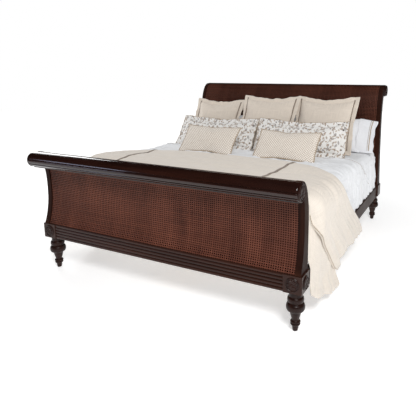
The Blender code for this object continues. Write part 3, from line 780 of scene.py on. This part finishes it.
def build_quilt(rows=215, columns=226):
    """White quilt over the mattress, its sides hanging to the rails and its head end turned back double."""
    low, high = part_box("quilt")
    drape = Drape(high.x - 0.007, high.z - 0.006, 0.055)
    reach = drape.reach(low.z + 0.004)
    arcs = np.linspace(-reach, reach, columns)
    foot, head = low.y + 0.010, high.y - 0.004
    x, z, below = drape.at(arcs)
    y = np.interp(np.linspace(0, 1, rows), (0, 0.12, 1), (foot, -0.45, head))[:, None]
    points = stack(x[None], y, z[None])
    fold = np.interp(z, QUILT_FOLD_Z, QUILT_FOLD_Y) + 0.010 * np.sin(arcs * 5.0 + 0.6)
    hang = clamp(below / 0.20)[None]
    doubled = 1 / (1 + np.exp((y - fold[None]) / 0.0035))
    under_pillows = clamp((y - fold.min() - 0.010) / 0.055) * (1 - clamp(below / 0.03))[None]
    top_gap = points[..., 2].max() - (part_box("fitted_sheet")[1].z + 0.0022)
    points[..., 2] -= under_pillows * top_gap * (1 - doubled)
    sway = points * (2.0, 1.0, 0.16)
    folds = soft_noise(sway, (8.0, 11, 0.55), (19.0, 12, 0.45))
    tucks = (1 - np.abs(soft_noise(sway, (12.0, 17, 1)))) ** 5
    rumple = soft_noise(points, (6.0, 13, 0.003), (19.0, 14, 0.0016))
    ridge = ((1 - np.abs(soft_noise(points, (5.0, 15, 1)))) ** 7
             + 0.7 * (1 - np.abs(soft_noise(points, (11.0, 16, 1)))) ** 7)
    channel = np.abs(np.sin(arcs * pi / QUILT_CHANNEL))[None] ** 0.5 * 0.0010
    normal = facing_normals(points, 2)
    lift = (rumple + ridge * 0.011) * (1 - hang * 0.5) + hang * (folds * 0.022 + tucks * 0.024)
    for (low_y, low_z), (high_y, high_z), height, width in QUILT_CREASES:
        line = np.interp(z, (low_z, high_z), (low_y, high_y))[None]
        ends = (clamp((z - low_z) / 0.03) * clamp((high_z - z) / 0.12))[None]
        lift = lift + ends * height * bell((y - line) / width)
    lift = (lift + channel + doubled * QUILT_DOUBLED) * (1 - 0.9 * under_pillows * (1 - doubled))
    points = points + normal * np.clip(lift, -0.026, 0.030)[..., None]
    thickness = QUILT_THICKNESS - 0.004 * clamp(under_pillows * 1.5) * (1 - doubled)
    flat = (2 * reach, head - foot)
    piece = cloth("quilt_coverlet", points, normal, thickness, QUILT_COTTON, flat[::-1])
    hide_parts("quilt")
    for side, sign in SIDES:
        picked = [c for c in range(columns) if np.sign(arcs[c]) == sign and abs(arcs[c]) > drape.flat * 0.72]
        row = [int(np.argmin(np.abs(y[:, 0] - fold[c] + 0.050))) for c in picked]
        facing = normal[row, picked]
        path = points[row, picked] + facing * 0.0042
        keep = path[:, 2] > low.z + 0.05
        ribbon(f"quilt_piping_{side}", path[keep], facing[keep], *QUILT_BRAID, GREY_BRAID)


DUVET_EDGE = 1.091            # middle of the cloth on the hanging sides
DUVET_HEM = (                 # share up the bed, height
    (0.0, 0.07, 0.16, 0.30, 0.60, 1.0), (0.140, 0.165, 0.205, 0.235, 0.205, 0.180))
DUVET_HEAD = (                # arc from the middle, and where the head edge is there
    (0.0, 0.50, 0.66, 0.80, 0.87, 0.95, 1.04, 1.09, 1.24, 1.42, 1.50, 1.67),
    (-0.128, -0.135, -0.190, -0.215, -0.285, -0.375, -0.480, -0.500, -0.325, -0.085, 0.055, 0.235))
DUVET_FOLD_Z = (0.140, 0.210, 0.290, 0.350, 0.450, 0.570, 0.640, 0.700, 0.90)   # height on the side ...
DUVET_FOLD_Y = (-0.520, -0.640, -0.710, -0.765, -0.870, -0.985, -1.030)           # ... and its fold there
DUVET_TRIMS = (("left", -0.70), ("right", 0.620))      # arc of each braid on the top
PLUMP_EDGE = 0.03             # thickness at the very edge, as a share squared


def plump(border, width):
    """Share of the full thickness at a distance from the edge."""
    return np.sqrt(np.clip(border / width, PLUMP_EDGE, 1))


def build_duvet(rows=180, columns=270):
    """Cream duvet: one big layer over the bed and, on each side, the corner that hangs lower."""
    low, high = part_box("duvet")
    foot = low.y + 0.006
    drape = Drape(DUVET_EDGE, high.z - 0.026, 0.095)
    share, side = shares(rows, columns, 0, -1)
    reach = drape.reach(np.interp(share, *DUVET_HEM))
    arcs = side * reach
    x, z, below = drape.at(arcs)
    size = np.abs(arcs)
    head = sum(np.interp(size + shift, *DUVET_HEAD) for shift in (-0.06, -0.03, 0.0, 0.03, 0.06)) / 5
    head = head + 0.008 * np.sin(arcs * 4.2 + 1.0)
    start = np.where(below > 0, np.interp(z, DUVET_FOLD_Z, (*DUVET_FOLD_Y, foot, foot)), foot)
    points = stack(x, start + share * (head - start), z)
    hang = clamp(below / 0.35)
    tuck = bell((points[..., 1] - foot) / 0.05) * clamp((size - drape.flat) / drape.bend)
    points[..., 0] -= np.sign(side) * 0.055 * tuck
    lengthwise = stack(arcs * 0.35, share * 8.0, np.sign(arcs) * 3.0)
    billow = soft_noise(stack(arcs * 1.1, points[..., 1] * 2.6, 0.0), (1.5, 21, 0.016), (4.0, 22, 0.008))
    pleat = soft_noise(lengthwise, (1.0, 23, 0.7), (2.2, 24, 0.3))
    crease = soft_noise(points * (1, 1.6, 1), (11.0, 25, 0.0036))
    normal = facing_normals(points, 2)
    lift = billow * (1 - hang) + pleat * hang ** 1.5 * 0.038 + crease
    lift += bell((size - drape.flat - drape.bend / 2) / 0.12) * soft_noise(lengthwise, (1.6, 26, 0.007))
    from_foot, from_head = share * np.abs(head - start), (1 - share) * np.abs(head - start)
    lift *= 1 - 0.75 * np.exp(-((from_head / 0.07) ** 2))
    points = points + normal * np.clip(lift, -0.018, 0.032)[..., None]
    border = np.minimum(np.minimum(from_head, from_foot), (1 - np.abs(side)) * reach)
    thickness = (0.036 - 0.014 * hang) * plump(border, 0.05) + 0.002
    piece = cloth("duvet_cover", points, normal, thickness, CREAM_LINEN, (0.9, 2 * drape.reach(0.2)))
    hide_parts("duvet")
    skin = points + normal * (thickness / 2 + 0.001)[..., None]
    for label, at in DUVET_TRIMS:
        column = int(np.argmin(np.abs(arcs[rows // 2] - at)))
        ribbon(f"duvet_trim_{label}", skin[2:-2, column], normal[2:-2, column], *DUVET_BRAID, BROWN_BRAID)
    for label, sign in SIDES:
        picked = [c for c in range(columns) if np.sign(side[0, c]) == sign and 0.17 < z[0, c] < 0.71][::sign]
        ribbon(f"duvet_fold_trim_{label}", skin[2, picked], normal[2, picked], *FOLD_BRAID, TAN_BRAID)
        duvet_corner(label, sign, foot)
    duvet_foot_fold(low, high)


CORNER_HEM_Y = (-1.020, -0.960, -0.700, -0.560, -0.500)           # the corner's hem, from the foot on ...
CORNER_HEM_Z = (0.255, 0.182, 0.138, 0.052, 0.030, 0.036)         # ... and its height, first at the foot


def duvet_corner(label, sign, foot, rows=70, columns=60):
    """The duvet's foot corner: it hangs from under the big layer, lowest at its tip."""
    v, u = shares(rows, columns)
    far = np.interp(v, (0.0, 0.72, 1.0), (-0.560, -0.560, -0.500))
    along = foot + 0.002 + u * (-0.500 - foot)
    y = foot + 0.002 + u * (far - foot)
    hem = np.interp(along, (foot, *CORNER_HEM_Y), CORNER_HEM_Z)
    top = np.interp(along, (foot, -0.90, -0.500), (0.760, 0.640, 0.420))
    z = top + v * (hem - top)
    drop = clamp((0.76 - z) / 0.72)
    x = (1.059 + 0.010 * clamp((y - foot) / 0.08) + 0.026 * clamp((0.22 - z) / 0.18) ** 1.2
         - 0.024 * clamp((z - 0.375) / 0.06) * bell((y - foot) / 0.05))
    points = stack(x * sign, y, z)
    fan = stack((u - 0.2) * 5.2, drop * 0.9, sign * 2.0)
    sway = soft_noise(fan, (1.0, 31, 0.7), (2.4, 32, 0.3)) * drop
    points[..., 0] += sign * np.clip(sway * 0.034, -0.002 - 0.012 * (z < 0.22), 0.016)
    border = np.minimum(np.minimum(u, 1 - u) * 0.55, np.minimum(v + 0.2, 1 - v) * 0.6)
    cloth(f"duvet_corner_{label}", points, facing_normals(points, 0, sign),
                       0.015 * plump(border, 0.035) + 0.002, CREAM_LINEN, (0.7, 0.55), 1)


def duvet_foot_fold(low, high, rows=30, columns=120):
    """The foot end of the duvet, tucked down between the mattress and the footboard."""
    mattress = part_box("mattress")
    half = mattress[1].x - 0.03
    front, back = low.y + 0.008, mattress[0].y - 0.016
    v, u = shares(rows, columns, 0, -1)
    top = high.z - 0.030
    points = stack(u * half, (front + back) / 2, top - v * (top - 0.535))
    points[..., 1] += soft_noise(points * (1, 1, 0.3), (9.0, 41, 0.006))
    border = np.minimum((1 - np.abs(u)) * half, np.minimum(v + 0.2, 1 - v) * 0.25)
    cloth("duvet_foot_fold", points, facing_normals(points, 1, -1),
                       (back - front) * 0.62 * plump(border, 0.03) + 0.002, CREAM_LINEN, (0.25, 1.9), 1)


# ---------------------------------------------------------------- pillows
LEAN = radians(30)
SLUMPED_LEAN = radians(35)
LUMBAR_LEAN = radians(42)
CELL = 0.0115
SHELL_CLOTH = dict(quality=5, mass=0.3, tension_stiffness=22, compression_stiffness=22, shear_stiffness=8,
                   bending_stiffness=0.35, air_damping=2.0, use_pressure=True, uniform_pressure_force=3.5)
FRAMES = 26
SETTLED_SHARE = np.array([0.3, 0.65, 0.3])    # how much of the simulated shape is kept over the plain form


class Stuffed:
    """Two cloth faces sewn round their border, in the pillow's own frame: X wide, Y thick, Z high."""

    def __init__(self, size, seed):
        self.size = np.array(size)
        width, thickness, height = size
        rows, columns = round(height / CELL), round(width / CELL)
        b, a = np.meshgrid(np.linspace(-1, 1, rows + 1), np.linspace(-1, 1, columns + 1), indexing="ij")
        front = numbers(*a.shape)
        back = front.copy()
        back[1:-1, 1:-1] = numbers(rows - 1, columns - 1) + a.size
        self.front_faces, self.back_faces = grid_faces(front), grid_faces(back)[:, ::-1]
        self.rim = border_of(front)
        crown = ((1 - np.abs(a) ** 3) * (1 - np.abs(b) ** 3)) ** 0.5
        x, z, depth = a * width / 2, b * height / 2, crown * thickness / 2
        uneven = soft_noise(stack(x, z, 0.0), (9.0, seed, 0.003)) * crown
        self.plump = self.both(stack(x, -depth, z), stack(x, depth, z))
        self.flat = self.both(stack(x, z), stack(x, z))
        self.points = self.plump * (1.0, 0.30, 1.0)
        self.points[:, 1] += self.both(uneven[..., None], uneven[..., None])[:, 0]

    @staticmethod
    def both(front, back):
        """Values at the front's points, and then at the back's own points."""
        last = front.shape[-1]
        return np.concatenate([front.reshape(-1, last), back[1:-1, 1:-1].reshape(-1, last)])

    def load(self):
        mesh = bpy.data.meshes.new("sewn")
        faces = np.concatenate([self.front_faces, self.back_faces])
        mesh.from_pydata(self.points.tolist(), [], faces.tolist())
        self.object = link("sewn", mesh)
        cloth_modifier = self.object.modifiers.new("inflate", "CLOTH")
        for key, value in SHELL_CLOTH.items():
            setattr(cloth_modifier.settings, key, value)
        cloth_modifier.settings.effector_weights.gravity = 0.0
        cloth_modifier.point_cache.frame_start = 1
        cloth_modifier.point_cache.frame_end = FRAMES

    def read(self):
        settled = self.object.evaluated_get(bpy.context.evaluated_depsgraph_get())
        mesh = settled.to_mesh()
        moved = np.zeros(len(mesh.vertices) * 3, np.float32)
        mesh.vertices.foreach_get("co", moved)
        settled.to_mesh_clear()
        self.points = moved.reshape(-1, 3).astype(float)
        bpy.data.objects.remove(self.object, do_unlink=True)

    def fit(self):
        """Scale the settled shape back to its size, and soften it towards the plain crowned form."""
        low, high = self.points.min(0), self.points.max(0)
        settled = (self.points - (low + high) / 2) / (high - low) * self.size
        self.points = self.plump + (settled - self.plump) * SETTLED_SHARE


def inflate(shells):
    for shell in shells:
        shell.load()
    SCENE.frame_start, SCENE.frame_end = 1, FRAMES
    for step in range(1, FRAMES + 1):
        SCENE.frame_set(step)
    for shell in shells:
        shell.read()
    SCENE.frame_set(1)
    for shell in shells:
        shell.fit()


def shape_outline(points, half_width, half_height, dip, pinch, tip):
    """Let the top edge dip between its corners, the sides draw in and the top corners point up."""
    a, b = np.abs(points[:, 0] / half_width), points[:, 2] / half_height
    points = points.copy()
    points[:, 2] += half_height * (tip * clamp(b) ** 4 * np.clip(a, 0, 1.1) ** 14
                                   - dip * clamp(b) * (1 - clamp(a) ** 2.6))
    points[:, 0] *= 1 - pinch * (1 - clamp(np.abs(b)) ** 2)
    return points


FLANGE = 0.042
FLANGE_RINGS = 6
FLANGE_HALF = 0.0022          # half its thickness, and at the outer edge:
FLANGE_TIP = 0.0012


def flange_mesh(rim_points, rim_flat, size, seed):
    """Vertices, faces, UVs and outer edge of a flat border sewn round the rim, a little wavy."""
    def reach(flat, length):
        inset = 2.2 * FLANGE / length
        share = flat / (length / 2)
        return np.sign(share) * clamp((np.abs(share) - (1 - inset)) / inset)

    out = stack(reach(rim_flat[:, 0], size[0]), 0.0, reach(rim_flat[:, 1], size[2]))
    steps = np.linspace(-0.10, 1.0, FLANGE_RINGS)
    count = len(rim_points)
    walk = np.linspace(0, TURN, count, endpoint=False)
    wave = soft_noise(stack(np.cos(walk) * 3.0, np.sin(walk) * 3.0, float(seed)), (2.2, seed, 0.020),
                      (5.0, seed + 1, 0.006))
    layers = []
    for face in (-1, 1):
        for step in steps:
            spot = rim_points + out * FLANGE * step
            spot[:, 1] = (rim_points[:, 1] + wave * max(step, 0) ** 1.3
                          + face * (FLANGE_HALF if step < 0.99 else FLANGE_TIP))
            layers.append(spot)
    points = np.array(layers)
    loop = looped(numbers(len(layers), count))
    front, back = loop[:FLANGE_RINGS], loop[FLANGE_RINGS:]
    seams = (np.stack([front[-1], back[-1]]), np.stack([back[0], front[0]]))
    faces = np.concatenate([grid_faces(front), grid_faces(back)[:, ::-1], *map(grid_faces, seams)])
    flat = np.stack([rim_flat + out[:, [0, 2]] * FLANGE * step for _ in (0, 1) for step in steps])
    return points.reshape(-1, 3), faces, flat.reshape(-1, 2), points[FLANGE_RINGS - 1]


class Pillow:
    """One pillow, with its flange, where its CAD node is: its piece, its own frame and its outer edge."""

    def __init__(self, node, lean, shell, materials, slot, seed, flanged=False, dip=0.05, pinch=0.02, tip=0.0,
                 size=None, fill=0.7):
        low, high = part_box(node)
        self.node, self.body = node, f"{node}_body"
        self.matrix = Matrix.Translation((low + high) / 2) @ Matrix.Rotation(-lean, 4, "X")
        points = shape_outline(shell.points, size[0] / 2, size[1] / 2, dip, pinch, tip)
        faces, flat, edge = [shell.front_faces, shell.back_faces], shell.flat, points[shell.rim]
        if flanged:
            band, band_faces, band_flat, edge = flange_mesh(edge, flat[shell.rim], shell.size, seed)
            faces.append(band_faces + len(points))
            points, flat = np.concatenate([points, band]), np.concatenate([flat, band_flat])
        self.edge = self.to_world(edge)
        points = self.to_world(points)
        self.piece = add_mesh(f"{node}_cushion", points, np.concatenate(faces), materials, flat, self.body, 1)
        kinds = np.concatenate([np.full(len(part), kind, np.int32) for part, kind in zip(faces, (0, 1, 0))])
        self.piece.data.polygons.foreach_set("material_index", kinds)
        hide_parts(node)

    def to_world(self, points):
        return points @ np.array(self.matrix.to_3x3()).T + np.array(self.matrix.translation)

    def stripe(self, label, piece, x, half_height, bow, width, height, material):
        """Upright braid laid over a piece's front at one distance from the middle."""
        tree = tree_of(piece.data)
        toward = self.matrix.to_3x3() @ Vector((0, 1, 0))
        path, normals = [], []
        for z in np.linspace(-half_height, half_height, 46):
            bowed = x * (1 - bow * (1 - (z / half_height) ** 2))
            spot, normal, _, _ = tree.ray_cast(self.matrix @ Vector((bowed, -0.4, z)), toward)
            if spot is not None:
                facing = normal if normal.dot(toward) < 0 else -normal
                path.append(np.array(spot + facing * height * 0.5))
                normals.append(np.array(facing))
        path, normals = smooth_line(np.array(path)), smooth_line(np.array(normals))
        ribbon(f"{self.node}_{label}", path, normals, width, height, material, self.body)


def smooth_line(values, rounds=2):
    for _ in range(rounds):
        values[1:-1] = (values[:-2] + 2 * values[1:-1] + values[2:]) / 4
    return values


EURO = {"left": (0.61, 0.560, 0.145), "middle": (0.65, 0.62, 0.145), "right": (0.65, 0.62, 0.145)}
FLORAL = {"left": (0.90, 0.375, 0.140), "right": (0.92, 0.375, 0.140)}
LUMBAR = (0.57, 0.310, 0.115)
WHITE = (0.92, 0.37, 0.125)
CUFF = 0.13                   # part of a white pillow's length that is an open cuff
CUFF_THICKNESS = 0.0018
CUFF_HEMS = ((1, 0.045, 0.009, TAN_BRAID), (2, 0.060, 0.006, GREY_BRAID))    # number, inset, width, braid
EDGING_RADIUS = 0.0022
CORD_RADIUS = 0.0048


def build_pillows():
    plans = [(euro_sham, f"euro_sham_{label}", EURO[label], FLANGE, 51 + number)
             for number, label in enumerate(("left", "middle", "right"))]
    for number, (label, _) in enumerate(SIDES):
        plans += [(floral_sham, f"floral_sham_{label}", FLORAL[label], FLANGE, 61 + number),
                  (lumbar_pillow, f"lumbar_pillow_{label}", LUMBAR, 0.0, 71 + number),
                  (white_pillow, f"white_pillow_{label}", WHITE, 0.0, 81 + number)]
    shells = [Stuffed((size[0] - (CUFF if build is white_pillow else 2 * flange), size[2] - 0.006,
                       size[1] - 2 * flange), seed) for build, _, size, flange, seed in plans]
    inflate(shells)
    for (build, node, size, _, seed), shell in zip(plans, shells):
        build(node, size, shell, seed)


def euro_sham(node, size, shell, seed):
    pillow = Pillow(node, LEAN, shell, (SHAM_LINEN, SHAM_LINEN), "beige_linen", seed, True,
                    dip=0.110, pinch=0.03, tip=0.07, size=size)
    for label, sign in SIDES:
        pillow.stripe(f"trim_{label}", pillow.piece, sign * (size[0] / 2 - FLANGE - 0.008),
                      size[1] / 2 - FLANGE * 1.1, 0.055, *SHAM_BRAID, BROWN_BRAID)


def floral_sham(node, size, shell, seed):
    pillow = Pillow(node, SLUMPED_LEAN if node.endswith("left") else LEAN, shell, (LEAF_PRINT, OLIVE_LINEN),
                    "leaf_print", seed, True, tip=0.03, size=size)
    tube(f"{node}_edging", pillow.edge, EDGING_RADIUS, TAN_BRAID, pillow.body, twist=60, lobes=0.15)


def lumbar_pillow(node, size, shell, seed):
    pillow = Pillow(node, LUMBAR_LEAN, shell, (LATTICE, LATTICE), "lattice_weave", seed, dip=0.02, pinch=0.01,
                    size=size)
    edge = pillow.edge
    between = (edge + np.roll(edge, -1, 0)) / 2
    path = np.stack([edge, between], 1).reshape(-1, 3)
    tube(f"{node}_cord", path, CORD_RADIUS, TAN_BRAID, pillow.body, sides=10, twist=55, lobes=0.22)


def white_pillow(node, size, shell, seed, rows=44, columns=18):
    """Sleeping pillow in a case with an open, hemmed cuff at its outer end."""
    sign = -1 if node.endswith("left") else 1
    shell.points[:, 0] -= sign * CUFF / 2
    pillow = Pillow(node, LEAN, shell, (SHEET_COTTON, SHEET_COTTON), "white_linen", seed, dip=0.04, pinch=0.0,
                    size=size, fill=0.75)
    v, u = shares(rows, columns, -1)
    start = (sign * shell.points[:, 0]).max() - 0.045
    x = start + u * (size[0] / 2 - start) - 0.018 * u * (1 - v ** 2) + 0.004 * np.sin(v * 9)
    z = v * size[1] / 2 * (0.955 - 0.05 * u) - 0.012 * u
    depth = (0.030 * (1 - u) ** 1.5 + 0.012 * u) * np.sqrt(clamp(1 - v ** 2)) + 0.0016
    (front, quads), (back, other) = (
        thick_sheet(stack(sign * x, layer * depth + 0.005 * np.sin(u * 3 + v * 5), z), CUFF_THICKNESS)
        for layer in (-1, 1))
    cuff = add_mesh(f"{node}_cuff", pillow.to_world(np.concatenate([front, back])),
                    np.concatenate([quads, other + len(front)]), SHEET_COTTON,
                    np.tile(flat_uv(rows, columns, size[1], 0.17), (2, 1)), pillow.body, 1)
    for number, inward, width, material in CUFF_HEMS:
        pillow.stripe(f"hem_{number}", cuff, sign * (size[0] / 2 - inward), size[1] / 2 * 0.86, 0.02, width,
                      0.0014, material)


# ---------------------------------------------------------------- studio
AREA_LIGHTS = (               # name, place, target, size, watts, colour
    ("key", (3.0, -3.9, 4.0), (0, 0, 0.6), (1.4, 1.4), 192.0, (1.0, 1.0, 1.0)),
    ("panel", (-3.7, 0.8, 2.05), (0, 0.5, 1.5), (2.0, 1.5), 46.0, (1.0, 1.0, 1.0)),
    ("cool_strip", (-3.4, -4.0, 1.5), (0, -1.2, 0.8), (1.2, 0.35), 8.0, (0.72, 0.76, 1.0)))
WORLD_LIGHT = 0.42            # the backdrop as light; the camera sees it at full strength
FLOOR_REACH = 14


def build_world():
    """Soft white light from all round; the backdrop is plain white."""
    world = SCENE.world = bpy.data.worlds.new("studio")
    world.use_nodes = True
    world.cycles_visibility.glossy = False
    tree = world.node_tree
    rays = tree.nodes.new("ShaderNodeLightPath")
    strength = tree.nodes.new("ShaderNodeMapRange")
    strength.inputs["To Min"].default_value = WORLD_LIGHT
    tree.links.new(rays.outputs["Is Camera Ray"], strength.inputs["Value"])
    tree.links.new(strength.outputs[0], tree.nodes["Background"].inputs["Strength"])
    tree.nodes["Background"].inputs["Color"].default_value = (1.0, 1.0, 1.0, 1.0)


def build_studio():
    floor = bpy.data.meshes.new("floor")
    corners = [(x * FLOOR_REACH, y * FLOOR_REACH, 0) for x, y in ((-1, -1), (1, -1), (1, 1), (-1, 1))]
    floor.from_pydata(corners, [], [(0, 1, 2, 3)])
    floor.materials.append(studio_floor())
    ground = link("floor", floor)
    ground.location.z = -0.001
    build_world()
    for name, place, target, size, power, color in AREA_LIGHTS:
        light = bpy.data.lights.new(name, "AREA")
        light.shape = "RECTANGLE"
        light.size, light.size_y = size
        light.energy = power
        light.color = color
        lamp = link(name, light)
        lamp.location = place
        lamp.rotation_euler = (Vector(target) - Vector(place)).to_track_quat("-Z", "Y").to_euler()
    view = bpy.data.cameras.new("camera")
    view.sensor_width = 36.0
    view.lens = 37.91
    view.shift_x, view.shift_y = -0.1144, -0.1339
    camera = SCENE.camera = link("camera", view)
    camera.location = (1.8343, -3.3862, 1.5259)
    camera.rotation_euler = (radians(79.55), 0.0, radians(25.96))
    SCENE.view_settings.view_transform = "Standard"


build_studio()
build_pillows()
build_wood()
build_mattress()
build_fitted_sheet()
build_quilt()
build_duvet()

bpy.context.view_layer.update()
